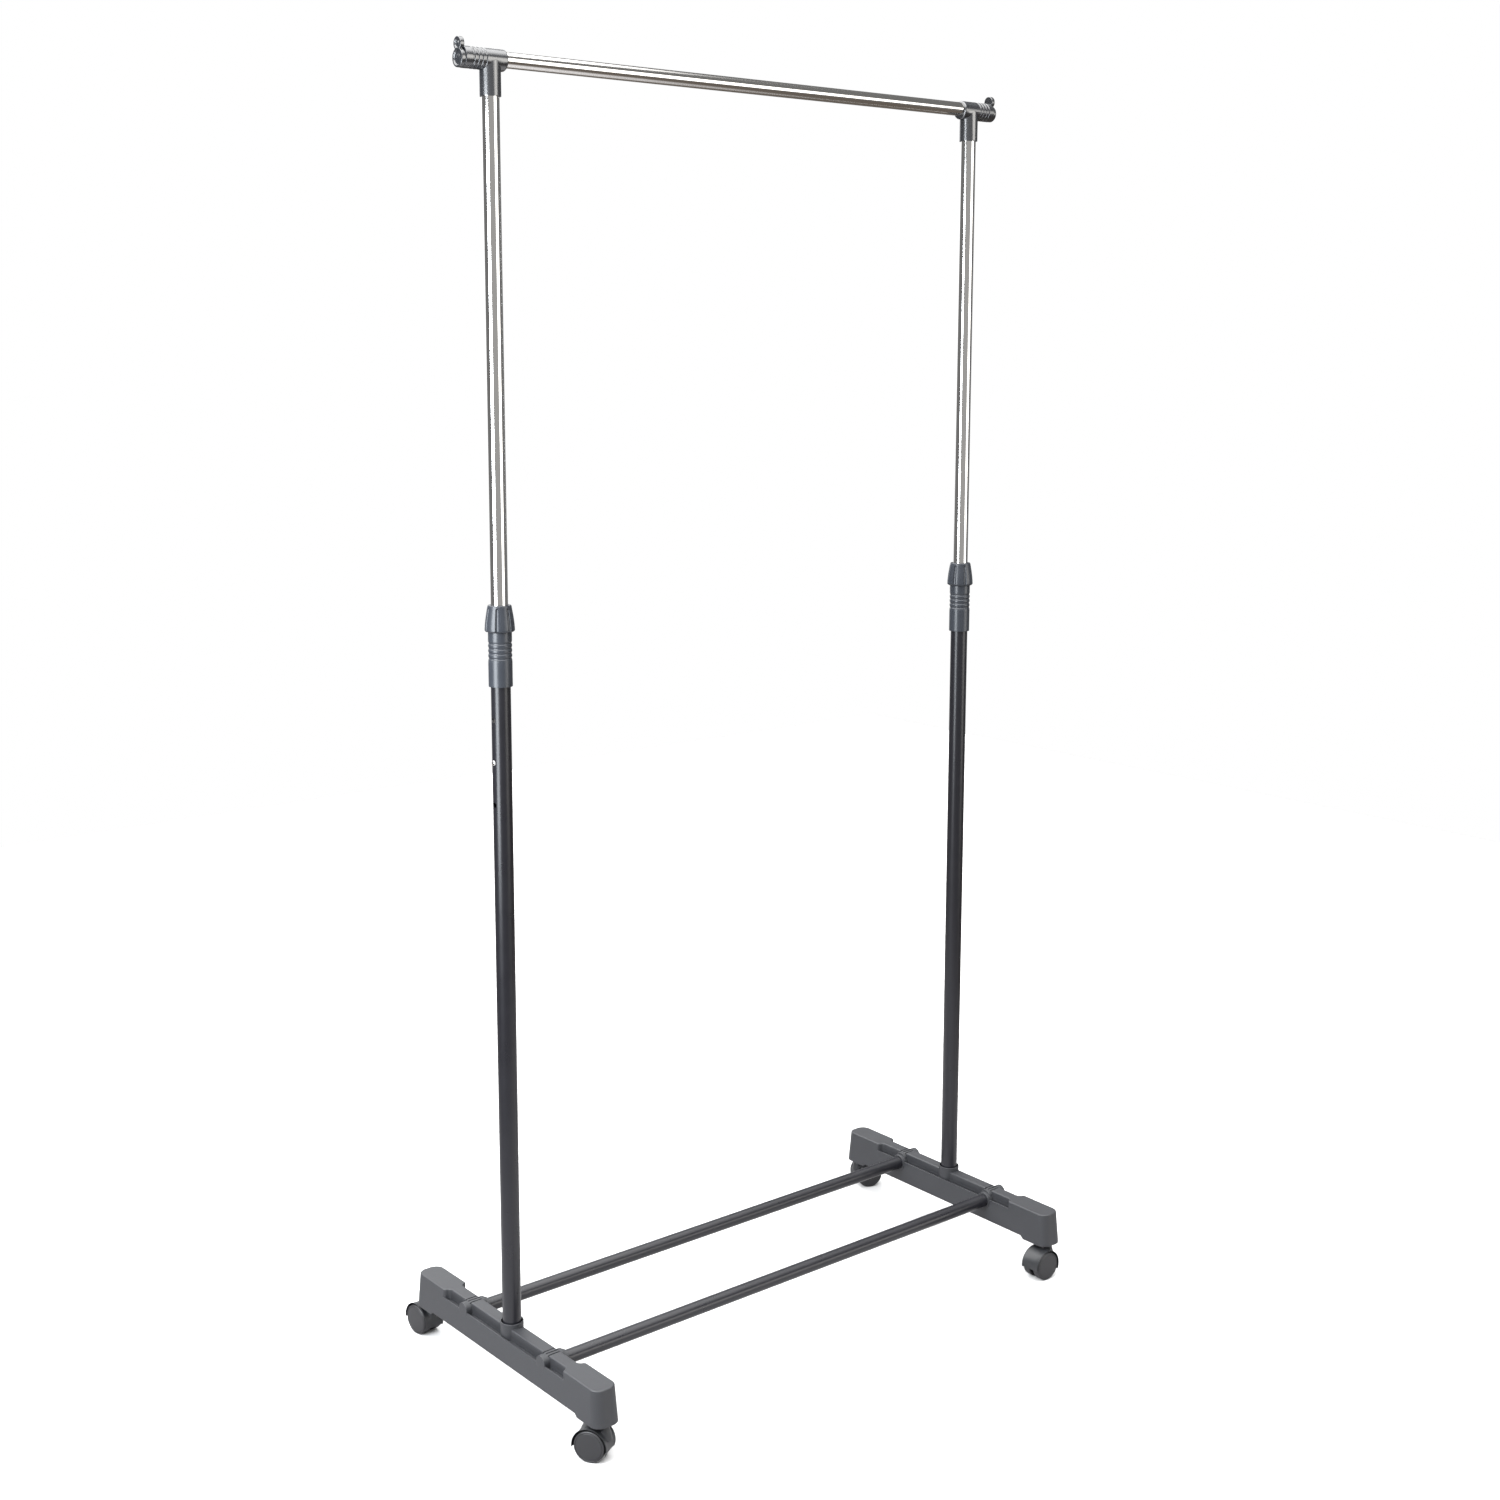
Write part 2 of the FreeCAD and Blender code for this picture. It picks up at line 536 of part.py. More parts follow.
def wheel_room():
    """The space inside the hood that both wheels turn in."""
    wide, end = HOOD_R - HOOD_LIP, HOOD_HALF + 1
    return revolve([(0, -end), (wide, -end), (wide, 3 - end), (WHEEL_ROOM_R, 6 - end),
                    (WHEEL_ROOM_R, end - 6), (wide, end - 3), (wide, end), (0, end)])


def make_hood():
    """Waisted half shell over both wheels, with a middle web and the stem's neck."""
    room = on_axle(wheel_room())
    web_half = WHEEL_IN - 0.4
    web = on_axle(cylinder(HOOD_WAIST_R - 0.3, 2 * web_half, V(0, 0, -web_half)))
    hood = on_axle(revolve(hood_flare())).cut(room).fuse(web)
    edge = [(-40, SKIRT_Z - 2), (5 - HOOD_R, SKIRT_Z), (-5, WHEEL_R - 6), (5, WHEEL_R - 6),
            (HOOD_R - 4, TAIL_Z), (40, TAIL_Z), (40, -20), (-40, -20)]
    below = polygon_prism([V(TRAIL + x, -30, z) for x, z in edge], V(0, 60, 0))
    neck_z = WHEEL_R + 3.5
    neck = cylinder(NECK_R, NECK_TOP_Z - neck_z, V(0, 0, neck_z)).cut(room)
    hood = hood.cut(below).fuse(neck).removeSplitter()
    hood = hood.cut(cylinder(STEM_R, 30, V(0, 0, STEM_BASE_Z)))
    return hood.cut(on_axle(cylinder(AXLE_R, 60, V(0, 0, -30))))


def make_axle():
    half = WHEEL_OUT - 2.4
    pin = cylinder(AXLE_R, 2 * half, V(0, 0, -half))
    ends = [e for e in pin.Edges if e.BoundBox.ZLength < 0.01]
    return on_axle(pin.makeChamfer(0.4, ends))


def make_wheel(side):
    """One moulded wheel: dished inside, closed and slightly domed outside."""
    r, low, high = WHEEL_R, WHEEL_IN, WHEEL_OUT
    bore = AXLE_R + RUNNING
    profile = [
        (bore, low), (5.0, low), (5.0, low + 6.6), (r - 3.4, low + 6.6), (r - 3.4, low + 0.4),
        (r - 1.0, low), (r, low + 1.0), (r, high - 2.6), (r - 0.35, high - 1.5),
        (r - 1.1, high - 0.75), (r - 2.0, high - 0.35), (r - 2.3, high - 0.6), (r - 2.7, high - 0.4),
        (r - 8, high - 0.1), (0, high), (0, high - 2.0), (bore, high - 2.0),
    ]
    if side < 0:
        profile = [(radius, -height) for radius, height in profile]
    return on_axle(revolve(profile))


def at_caster(shape, sign, side, heading):
    """Turns a caster piece to its heading and moves it to its corner."""
    placed = shape.copy()
    placed.rotate(V(0, 0, 0), Z_AXIS, heading)
    return moved(placed, x=sign * UPRIGHT_X, y=side * CASTER_Y)


# ---- Assembly -----------------------------------------------------------
def build():
    nodes = {}
    foot, sleeve, collet, nut = make_foot(), make_sleeve(), make_collet(), make_nut()
    bush, button, spring = make_guide_bush(), make_snap_button(), make_snap_spring()
    connector, cap, socket = make_t_connector(), make_end_cap(), make_caster_socket()
    for name, sign in SIDES:
        nodes[name + "_foot"] = outward(foot, sign)
        nodes[name + "_lower_tube"] = make_lower_tube(sign)
        nodes[name + "_tube_plug"] = make_tube_plug(sign)
        nodes[name + "_upright_screw"] = make_upright_screw(sign)
        nodes[name + "_adjuster_sleeve"] = outward(sleeve, sign)
        nodes[name + "_collet"] = outward(collet, sign)
        nodes[name + "_lock_nut"] = outward(nut, sign)
        nodes[name + "_upper_tube"] = make_upper_tube(sign)
        nodes[name + "_guide_bush"] = outward(bush, sign)
        nodes[name + "_snap_button"] = outward(button, sign)
        nodes[name + "_snap_spring"] = outward(spring, sign)
        nodes[name + "_t_connector"] = outward(connector, sign)
        nodes[name + "_end_cap"] = outward(cap, sign)
    for name, side in (("front", -1), ("rear", 1)):
        nodes[name + "_base_bar"] = make_base_bar(side)
    screws = [
        moved(bar_screw(side), x=sign * UPRIGHT_X) for sign in (-1, 1) for side in (-1, 1)
    ]
    nodes["base_bar_screws"] = Part.makeCompound(screws)
    nodes["hanging_rail"] = make_rail()
    pieces = {"socket": socket, "stem": make_stem(), "hood": make_hood(), "axle": make_axle(),
              "wheel_a": make_wheel(-1), "wheel_b": make_wheel(1)}
    for name, sign, side, heading in CASTERS:
        for piece, shape in pieces.items():
            nodes[name + "_caster_" + piece] = at_caster(shape, sign, side, heading)
    return nodes


def main():
    os.makedirs("parts", exist_ok=True)
    for name, shape in build().items():
        if not shape.isValid():
            raise ValueError(name + " is not a valid solid")
        shape.exportStep("parts/" + name + ".step")


main()
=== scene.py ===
import json
import math

import bmesh
import bpy
from mathutils import Matrix, Vector


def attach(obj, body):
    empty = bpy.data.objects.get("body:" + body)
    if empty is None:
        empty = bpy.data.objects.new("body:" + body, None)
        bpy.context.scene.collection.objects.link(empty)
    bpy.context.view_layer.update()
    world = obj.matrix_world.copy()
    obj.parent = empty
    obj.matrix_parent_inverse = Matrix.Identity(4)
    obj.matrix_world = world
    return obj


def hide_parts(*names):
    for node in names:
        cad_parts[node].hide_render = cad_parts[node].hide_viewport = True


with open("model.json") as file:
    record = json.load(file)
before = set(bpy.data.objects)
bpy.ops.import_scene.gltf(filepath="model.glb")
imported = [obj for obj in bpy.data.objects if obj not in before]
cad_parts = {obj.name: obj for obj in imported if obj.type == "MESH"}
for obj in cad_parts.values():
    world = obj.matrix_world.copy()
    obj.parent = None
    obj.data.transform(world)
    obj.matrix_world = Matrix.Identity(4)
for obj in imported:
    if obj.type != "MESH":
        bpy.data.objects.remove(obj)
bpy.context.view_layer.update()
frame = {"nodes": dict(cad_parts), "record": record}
RECORD = frame["record"]
SLOTS = {part["node"]: part["material_slot"] for part in RECORD["subparts"]}
BODIES = {node: body for body, nodes in RECORD["behaviour"]["bodies"].items() for node in nodes}
SIDES = (("left", -1), ("right", 1))

MM = 0.001                 # piece sizes below are millimetres
ROUND = 96                 # segments round a turned piece


# ---- Camera --------------------------------------------------------------
CAMERA_AT = (-1.5500, -1.8771, 1.2110)
CAMERA_YAW = 39.523        # from +Y towards +X, degrees
CAMERA_DOWN = 9.186
CAMERA_ROLL = 0.133
CAMERA_LENS, CAMERA_SENSOR = 48.454, 36.0      # mm
CAMERA_SHIFT = -0.05
CAMERA_CLIP = (0.05, 60.0)


def make_camera():
    data = bpy.data.cameras.new("camera")
    data.lens = CAMERA_LENS
    data.sensor_width = CAMERA_SENSOR
    data.shift_y = CAMERA_SHIFT
    data.clip_start, data.clip_end = CAMERA_CLIP
    camera = bpy.data.objects.new("camera", data)
    bpy.context.scene.collection.objects.link(camera)
    turn = (Matrix.Rotation(-math.radians(CAMERA_YAW), 4, "Z")
            @ Matrix.Rotation(math.radians(90.0 - CAMERA_DOWN), 4, "X")
            @ Matrix.Rotation(math.radians(CAMERA_ROLL), 4, "Z"))
    camera.matrix_world = Matrix.Translation(CAMERA_AT) @ turn
    bpy.context.scene.camera = camera


# ---- Light and floor -----------------------------------------------------
# Soft boxes round the object: direction, half width and softness in degrees,
# colour and strength.
BOXES = (
    ((0.50, -0.86, 0.05), 17, 3, (1.0, 0.98, 0.94), 3.6),
    ((-0.50, -0.86, 0.0), 40, 12, (0.98, 0.96, 0.93), 0.22),
    ((0.27, 0.93, 0.20), 19, 6, (0.97, 0.98, 1.0), 1.5),
)
CEILING = ((-2.2, 0.72), (-1.2, 1.6))      # a panel overhead: its edges as x/z and y/z
CEILING_SOFT, CEILING_LIGHT = 0.08, 4.3
CEILING_FADE = (0.06, 0.16)                # z at which the panel starts, and where it is full
ROOM = (0.19, 0.19, 0.19)
KEY_AT, KEY_SIZE = (-1.30, -0.17, 0.985), (0.56, 1.15)
KEY_POWER, KEY_COLOUR = 27.0, (0.90, 0.95, 1.0)
FLOOR_HALF = 3.0
FLOOR_SEEN = (0.66, 0.66, 0.66)            # to the camera
SWEEP, SWEEP_NEAR, SWEEP_FAR = (0.34, 0.335, 0.34), 0.5, 1.6     # to the object, close by
FLOOR_BOUNCE = (0.050, 0.043, 0.037)                             # to the object, further out


def math_node(tree, operation, a, b):
    node = tree.nodes.new("ShaderNodeMath")
    node.operation = operation
    for socket, value in zip(node.inputs, (a, b)):
        if isinstance(value, float):
            socket.default_value = value
        else:
            tree.links.new(value, socket)
    return node.outputs[0]


def ramp_node(tree, value, low, high):
    """0 at low, 1 at high, eased between them."""
    ramp = tree.nodes.new("ShaderNodeMapRange")
    ramp.interpolation_type = "SMOOTHSTEP"
    ramp.inputs["From Min"].default_value = low
    ramp.inputs["From Max"].default_value = high
    tree.links.new(value, ramp.inputs["Value"])
    return ramp.outputs["Result"]


def ceiling_mask(tree, coords):
    """1 inside the overhead panel, 0 outside, with soft edges."""
    split = tree.nodes.new("ShaderNodeSeparateXYZ")
    tree.links.new(coords.outputs["Generated"], split.inputs[0])
    mask = ramp_node(tree, split.outputs["Z"], *CEILING_FADE)
    height = math_node(tree, "MAXIMUM", split.outputs["Z"], 0.02)
    for axis, (low, high) in zip("XY", CEILING):
        slope = math_node(tree, "DIVIDE", split.outputs[axis], height)
        for a, b in ((low - CEILING_SOFT, low + CEILING_SOFT),
                     (high + CEILING_SOFT, high - CEILING_SOFT)):
            mask = math_node(tree, "MULTIPLY", mask, ramp_node(tree, slope, a, b))
    return mask


def make_world():
    world = bpy.data.worlds.new("studio")
    bpy.context.scene.world = world
    world.use_nodes = True
    tree = world.node_tree
    tree.nodes.clear()
    coords = tree.nodes.new("ShaderNodeTexCoord")
    total = None
    for direction, half, soft, colour, strength in BOXES:
        dot = tree.nodes.new("ShaderNodeVectorMath")
        dot.operation = "DOT_PRODUCT"
        tree.links.new(coords.outputs["Generated"], dot.inputs[0])
        dot.inputs[1].default_value = Vector(direction).normalized()
        ramp = ramp_node(tree, dot.outputs["Value"], math.cos(math.radians(half + soft)),
                         math.cos(math.radians(half - soft)))
        scale = tree.nodes.new("ShaderNodeVectorMath")
        scale.operation = "SCALE"
        scale.inputs[0].default_value = Vector(colour) * strength
        tree.links.new(ramp, scale.inputs["Scale"])
        add = tree.nodes.new("ShaderNodeVectorMath")
        add.operation = "ADD"
        tree.links.new(scale.outputs["Vector"], add.inputs[0])
        if total is None:
            add.inputs[1].default_value = ROOM
        else:
            tree.links.new(total, add.inputs[1])
        total = add.outputs["Vector"]
    panel = tree.nodes.new("ShaderNodeVectorMath")
    panel.operation = "MULTIPLY_ADD"
    panel.inputs[1].default_value = (CEILING_LIGHT,) * 3
    tree.links.new(ceiling_mask(tree, coords), panel.inputs[0])
    tree.links.new(total, panel.inputs[2])
    room = tree.nodes.new("ShaderNodeBackground")
    tree.links.new(panel.outputs["Vector"], room.inputs["Color"])
    plain = tree.nodes.new("ShaderNodeBackground")
    plain.inputs["Color"].default_value = (1.0, 1.0, 1.0, 1.0)
    path = tree.nodes.new("ShaderNodeLightPath")
    mix = tree.nodes.new("ShaderNodeMixShader")
    tree.links.new(path.outputs["Is Camera Ray"], mix.inputs["Fac"])
    tree.links.new(room.outputs["Background"], mix.inputs[1])
    tree.links.new(plain.outputs["Background"], mix.inputs[2])
    out = tree.nodes.new("ShaderNodeOutputWorld")
    tree.links.new(mix.outputs["Shader"], out.inputs["Surface"])


def make_key_light():
    """Tall soft box beside the left upright."""
    data = bpy.data.lights.new("key", "AREA")
    data.shape = "RECTANGLE"
    data.size, data.size_y = KEY_SIZE
    data.energy = KEY_POWER
    data.color = KEY_COLOUR
    key = bpy.data.objects.new("key", data)
    bpy.context.scene.collection.objects.link(key)
    key.rotation_euler = (math.radians(90), 0, math.radians(-90))
    key.location = KEY_AT
    key.visible_camera = False


def make_floor():
    """Seen white. The object sees a pale sweep close by and a darker, warmer floor beyond."""
    mesh = bpy.data.meshes.new("floor")
    corners = ((-1, -1), (1, -1), (1, 1), (-1, 1))
    mesh.from_pydata([(x * FLOOR_HALF, y * FLOOR_HALF, 0) for x, y in corners],
                     [], [(0, 1, 2, 3)])
    floor = bpy.data.objects.new("floor", mesh)
    bpy.context.scene.collection.objects.link(floor)
    material = bpy.data.materials.new("floor")
    material.use_nodes = True
    tree = material.node_tree
    tree.nodes.clear()
    seen = tree.nodes.new("ShaderNodeBsdfDiffuse")
    seen.inputs["Color"].default_value = FLOOR_SEEN + (1,)
    place = tree.nodes.new("ShaderNodeTexCoord")
    reach = tree.nodes.new("ShaderNodeVectorMath")
    reach.operation = "LENGTH"
    tree.links.new(place.outputs["Object"], reach.inputs[0])
    blend = tree.nodes.new("ShaderNodeMix")
    blend.data_type = "RGBA"
    tree.links.new(ramp_node(tree, reach.outputs["Value"], SWEEP_NEAR, SWEEP_FAR),
                   blend.inputs["Factor"])
    blend.inputs["A"].default_value = SWEEP + (1,)
    blend.inputs["B"].default_value = FLOOR_BOUNCE + (1,)
    bounce = tree.nodes.new("ShaderNodeBsdfDiffuse")
    tree.links.new(blend.outputs["Result"], bounce.inputs["Color"])
    path = tree.nodes.new("ShaderNodeLightPath")
    mix = tree.nodes.new("ShaderNodeMixShader")
    out = tree.nodes.new("ShaderNodeOutputMaterial")
    tree.links.new(path.outputs["Is Camera Ray"], mix.inputs["Fac"])
    tree.links.new(bounce.outputs["BSDF"], mix.inputs[1])
    tree.links.new(seen.outputs["BSDF"], mix.inputs[2])
    tree.links.new(mix.outputs["Shader"], out.inputs["Surface"])
    mesh.materials.append(material)


# ---- Materials -----------------------------------------------------------
GRAIN_DEPTH = 0.0002       # metres
EDGE_SAMPLES = 6


def surface(name, colour, rough, metallic=0.0, ior=1.5, mottle=0.06, mottle_scale=60.0,
            grain=0.0, grain_scale=1500.0, rough_spread=0.05, edge=0.0, stretch=(1, 1, 1)):
    """A moulded, coated or plated surface: uneven colour and gloss, fine grain, soft edges."""
    material = bpy.data.materials.new(name)
    material.use_nodes = True
    tree = material.node_tree
    shader = tree.nodes["Principled BSDF"]
    coords = tree.nodes.new("ShaderNodeTexCoord")
    mapping = tree.nodes.new("ShaderNodeMapping")
    mapping.inputs["Scale"].default_value = stretch
    tree.links.new(coords.outputs["Object"], mapping.inputs["Vector"])
    cloud = tree.nodes.new("ShaderNodeTexNoise")
    cloud.inputs["Scale"].default_value = mottle_scale
    cloud.inputs["Detail"].default_value = 4.0
    tree.links.new(mapping.outputs["Vector"], cloud.inputs["Vector"])
    ramp = tree.nodes.new("ShaderNodeValToRGB")
    low, high = ramp.color_ramp.elements
    low.position, high.position = 0.25, 0.75
    low.color = [c * (1 - mottle) for c in colour] + [1]
    high.color = [c * (1 + mottle) for c in colour] + [1]
    tree.links.new(cloud.outputs["Fac"], ramp.inputs["Fac"])
    tree.links.new(ramp.outputs["Color"], shader.inputs["Base Color"])
    gloss = tree.nodes.new("ShaderNodeMapRange")
    gloss.inputs["To Min"].default_value = rough - rough_spread
    gloss.inputs["To Max"].default_value = rough + rough_spread
    tree.links.new(cloud.outputs["Fac"], gloss.inputs["Value"])
    tree.links.new(gloss.outputs["Result"], shader.inputs["Roughness"])
    shader.inputs["Metallic"].default_value = metallic
    shader.inputs["IOR"].default_value = ior
    normal = None
    if edge:
        bevel = tree.nodes.new("ShaderNodeBevel")
        bevel.samples = EDGE_SAMPLES
        bevel.inputs["Radius"].default_value = edge
        normal = bevel.outputs["Normal"]
    if grain:
        fine = tree.nodes.new("ShaderNodeTexNoise")
        fine.inputs["Scale"].default_value = grain_scale
        fine.inputs["Detail"].default_value = 2.0
        tree.links.new(mapping.outputs["Vector"], fine.inputs["Vector"])
        bump = tree.nodes.new("ShaderNodeBump")
        bump.inputs["Strength"].default_value = grain
        bump.inputs["Distance"].default_value = GRAIN_DEPTH
        tree.links.new(fine.outputs["Fac"], bump.inputs["Height"])
        if normal is not None:
            tree.links.new(normal, bump.inputs["Normal"])
        normal = bump.outputs["Normal"]
    if normal is not None:
        tree.links.new(normal, shader.inputs["Normal"])
    return material


def make_materials():
    return {
        "foot_plastic": surface("foot_plastic", (0.025, 0.026, 0.0295), 0.50, grain=0.35,
                                edge=0.0005),
        "black_tube": surface("black_tube", (0.010, 0.010, 0.013), 0.29, grain=0.10,
                              grain_scale=900.0, mottle_scale=40.0),
        "chrome_tube": surface("chrome_tube", (0.80, 0.79, 0.775), 0.09, metallic=1.0,
                               mottle=0.015, rough_spread=0.02, stretch=(1, 1, 0.05)),
        "chrome_rail": surface("chrome_rail", (0.78, 0.765, 0.74), 0.10, metallic=1.0,
                               mottle=0.015, rough_spread=0.02, stretch=(0.05, 1, 1)),
        "adjuster_plastic": surface("adjuster_plastic", (0.031, 0.035, 0.043), 0.30, grain=0.1),
        "connector_plastic": surface("connector_plastic", (0.010, 0.012, 0.016), 0.25,
                                     ior=2.3, rough_spread=0.03),
        "caster_plastic": surface("caster_plastic", (0.014, 0.015, 0.017), 0.38, grain=0.2,
                                  edge=0.0003),
        "wheel_plastic": surface("wheel_plastic", (0.017, 0.017, 0.019), 0.44, grain=0.25),
        "inner_plastic": surface("inner_plastic", (0.55, 0.55, 0.53), 0.45),
        "zinc_steel": surface("zinc_steel", (0.62, 0.62, 0.60), 0.32, metallic=1.0),
        "spring_steel": surface("spring_steel", (0.55, 0.55, 0.55), 0.28, metallic=1.0),
        "bright_steel": surface("bright_steel", (0.86, 0.86, 0.85), 0.14, metallic=1.0),
    }


# ---- Mesh helpers --------------------------------------------------------
TO_X = Matrix.Rotation(math.radians(90), 4, "Y")       # a piece made about Z, turned to lie on X
SKEW = Matrix.Rotation(math.radians(0.37), 4, "Z")     # keeps a cutter's edges off other edges
CORNER_STEPS = 4
SAME_POINT, NEAR_POINT, SHORT_EDGE = 1e-7, 5e-6, 2e-6  # metres, for cleaning a mesh


def at(x=0.0, y=0.0, z=0.0):
    return Matrix.Translation((x * MM, y * MM, z * MM))


def softened(profile, soft):
    """Rounds the corners of a closed profile, each by soft or as much as its edges allow."""
    result = []
    count = len(profile)
    for i, point in enumerate(profile):
        corner = Vector(point)
        before, after = Vector(profile[i - 1]) - corner, Vector(profile[(i + 1) % count]) - corner
        sharp = before.angle(-after) > math.radians(15) and corner.x > 1e-6
        if not sharp:
            result.append(corner)
            continue
        a = corner + before.normalized() * min(soft, before.length * 0.45)
        b = corner + after.normalized() * min(soft, after.length * 0.45)
        for n in range(CORNER_STEPS + 1):
            t = n / CORNER_STEPS
            result.append(a * (1 - t) ** 2 + corner * 2 * t * (1 - t) + b * t ** 2)
    return result


def to_mesh(name, bm):
    bmesh.ops.remove_doubles(bm, verts=bm.verts, dist=SAME_POINT)
    bmesh.ops.recalc_face_normals(bm, faces=bm.faces)
    mesh = bpy.data.meshes.new(name)
    bm.to_mesh(mesh)
    bm.free()
    return mesh


def smooth(mesh, angle=30.0):
    mesh.shade_smooth()
    mesh.set_sharp_from_angle(angle=math.radians(angle))
    return mesh


def lathe(name, profile, soft, segments=ROUND, turn=Matrix()):
    """Turned solid about Z from a closed profile of (radius, height) points, in mm."""
    bm = bmesh.new()
    points = softened(profile, soft) if soft else [Vector(p) for p in profile]
    rings = []
    for n in range(segments):
        angle = 2 * math.pi * n / segments
        c, s = math.cos(angle), math.sin(angle)
        rings.append([bm.verts.new((p.x * c * MM, p.x * s * MM, p.y * MM)) for p in points])
    for n in range(segments):
        ring, following = rings[n], rings[(n + 1) % segments]
        for i in range(len(points)):
            j = (i + 1) % len(points)
            if points[i].x or points[j].x:
                bm.faces.new((ring[i], following[i], following[j], ring[j]))
    mesh = to_mesh(name, bm)
    mesh.transform(turn)
    return mesh


def rod(radius, low, high, turn=Matrix(), segments=64):
    """Plain round cutter from one height to another, in mm."""
    return lathe("cutter", [(0, low), (radius, low), (radius, high), (0, high)], 0, segments,
                 turn @ SKEW)


def stack(name, rings):
    """Closed solid through rings of (x, y, z) points, in mm."""
    bm = bmesh.new()
    levels = [[bm.verts.new([v * MM for v in point]) for point in ring] for ring in rings]
    bm.faces.new(levels[0])
    bm.faces.new(levels[-1])
    count = len(rings[0])
    for low, high in zip(levels, levels[1:]):
        for i in range(count):
            j = (i + 1) % count
            bm.faces.new((low[i], low[j], high[j], high[i]))
    return to_mesh(name, bm)


def prism(outline, low, high):
    """Cutter with an outline in the XZ plane, from one Y to another, in mm."""
    return stack("cutter", [[(x, y, z) for x, z in outline] for y in (low, high)])


def block(low, high):
    """Plain box between two corners, in mm, for cutting or joining."""
    corners = ((low[0], low[2]), (high[0], low[2]), (high[0], high[2]), (low[0], high[2]))
    return prism(corners, low[1], high[1])


def combine(mesh, *steps):
    """Applies boolean steps, each an operation and the mesh that it is done with, then cleans."""
    base = bpy.data.objects.new("base", mesh)
    bpy.context.scene.collection.objects.link(base)
    tools = []
    for operation, tool in steps:
        other = bpy.data.objects.new("tool", tool)
        bpy.context.scene.collection.objects.link(other)
        modifier = base.modifiers.new("combine", "BOOLEAN")
        modifier.operation, modifier.solver, modifier.object = operation, "EXACT", other
        tools.append(other)
    graph = bpy.context.evaluated_depsgraph_get()
    result = bpy.data.meshes.new_from_object(base.evaluated_get(graph))
    result.name = mesh.name
    for thing in tools + [base]:
        bpy.data.objects.remove(thing)
    bm = bmesh.new()
    bm.from_mesh(result)
    bmesh.ops.remove_doubles(bm, verts=bm.verts, dist=NEAR_POINT)
    bmesh.ops.dissolve_degenerate(bm, edges=bm.edges, dist=SHORT_EDGE)
    bmesh.ops.holes_fill(bm, edges=[e for e in bm.edges if e.is_boundary], sides=8)
    bm.to_mesh(result)
    bm.free()
    return result


def piece(node, mesh, turn=Matrix()):
    """Adds a detailed piece in the place of a CAD node, on its body and with its finish."""
    shape = mesh.copy()
    shape.transform(turn)
    shape.materials.clear()
    shape.materials.append(MATERIALS[SLOTS[node]])
    shown = bpy.data.objects.new(node + "_detail", shape)
    bpy.context.scene.collection.objects.link(shown)
    flat = shown.modifiers.new("flat faces stay flat", "WEIGHTED_NORMAL")
    flat.keep_sharp = True
    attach(shown, BODIES[node])
    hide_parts(node)


def outward(sign):
    """Places a piece made at the origin, with +X outward, on one upright's axis."""
    return at(x=sign * UPRIGHT_X) @ Matrix.Rotation(math.pi if sign < 0 else 0.0, 4, "Z")


# ---- Tubes ---------------------------------------------------------------
UPRIGHT_X = 359.2          # from the middle to an upright's axis
RAIL_Z = 1512.4
BAR_Y, BAR_Z = 83.0, 72.0
HOLE_Z, HOLE_PITCH, HOLE_R = 755.5, 48.0, 3.1
NUT_Z = 902.4
LOWER_R, UPPER_R, RAIL_R, BAR_R = 11.0, 9.5, 8.5, 8.4
LOWER_WALL, THIN_WALL, TUBE_EDGE = 1.2, 1.0, 0.25
LOWER_ENDS, UPPER_ENDS = (58.0, 899.4), (739.5, 1501.9)
RAIL_PAST, BAR_PAST = 29.0, 13.3       # how far the ends go past an upright's axis
HOLE_CUT = (HOLE_R, 5, 14)             # cutters: radius and both ends
SCREW_CUT = (1.5, 50, 70)


def tube_profile(outer, wall, low, high, marks=()):
    """Tube section with extra rings at the marks, so that holes stay local."""
    levels = sorted(m for m in marks if low < m < high)
    inner = outer - wall
    up = [(outer, z) for z in levels]
    down = [(inner, z) for z in reversed(levels)]
    return [(outer, low)] + up + [(outer, high), (inner, high)] + down + [(inner, low)]


def hole_marks(heights):
    return [z + side * (HOLE_R + 2) for z in heights for side in (-1, 1)]


def make_tubes():
    heights = [HOLE_Z + n * HOLE_PITCH for n in (-1, 0, 1)]
    profile = tube_profile(LOWER_R, LOWER_WALL, *LOWER_ENDS, hole_marks(heights))
    lower = combine(lathe("lower", profile, TUBE_EDGE),
                    *[("DIFFERENCE", rod(*HOLE_CUT, at(z=z) @ TO_X)) for z in heights])
    profile = tube_profile(UPPER_R, THIN_WALL, *UPPER_ENDS, hole_marks([HOLE_Z]))
    upper = combine(lathe("upper", profile, TUBE_EDGE),
                    ("DIFFERENCE", rod(*HOLE_CUT, at(z=HOLE_Z) @ TO_X)))
    for name, sign in SIDES:
        piece(name + "_lower_tube", smooth(lower), outward(sign))
        piece(name + "_upper_tube", smooth(upper), outward(sign))
    reach = UPRIGHT_X + RAIL_PAST
    piece("hanging_rail", smooth(lathe("rail", tube_profile(RAIL_R, THIN_WALL, -reach, reach),
                                       TUBE_EDGE, turn=at(z=RAIL_Z) @ TO_X)))
    reach = UPRIGHT_X + BAR_PAST
    for name, side in (("front", -1), ("rear", 1)):
        bar = lathe("bar", tube_profile(BAR_R, THIN_WALL, -reach, reach), TUBE_EDGE,
                    turn=at(y=side * BAR_Y, z=BAR_Z) @ TO_X)
        screws = [("DIFFERENCE", rod(*SCREW_CUT, at(x=sign * UPRIGHT_X, y=side * BAR_Y)))
                  for sign in (-1, 1)]
        piece(name + "_base_bar", smooth(combine(bar, *screws)))


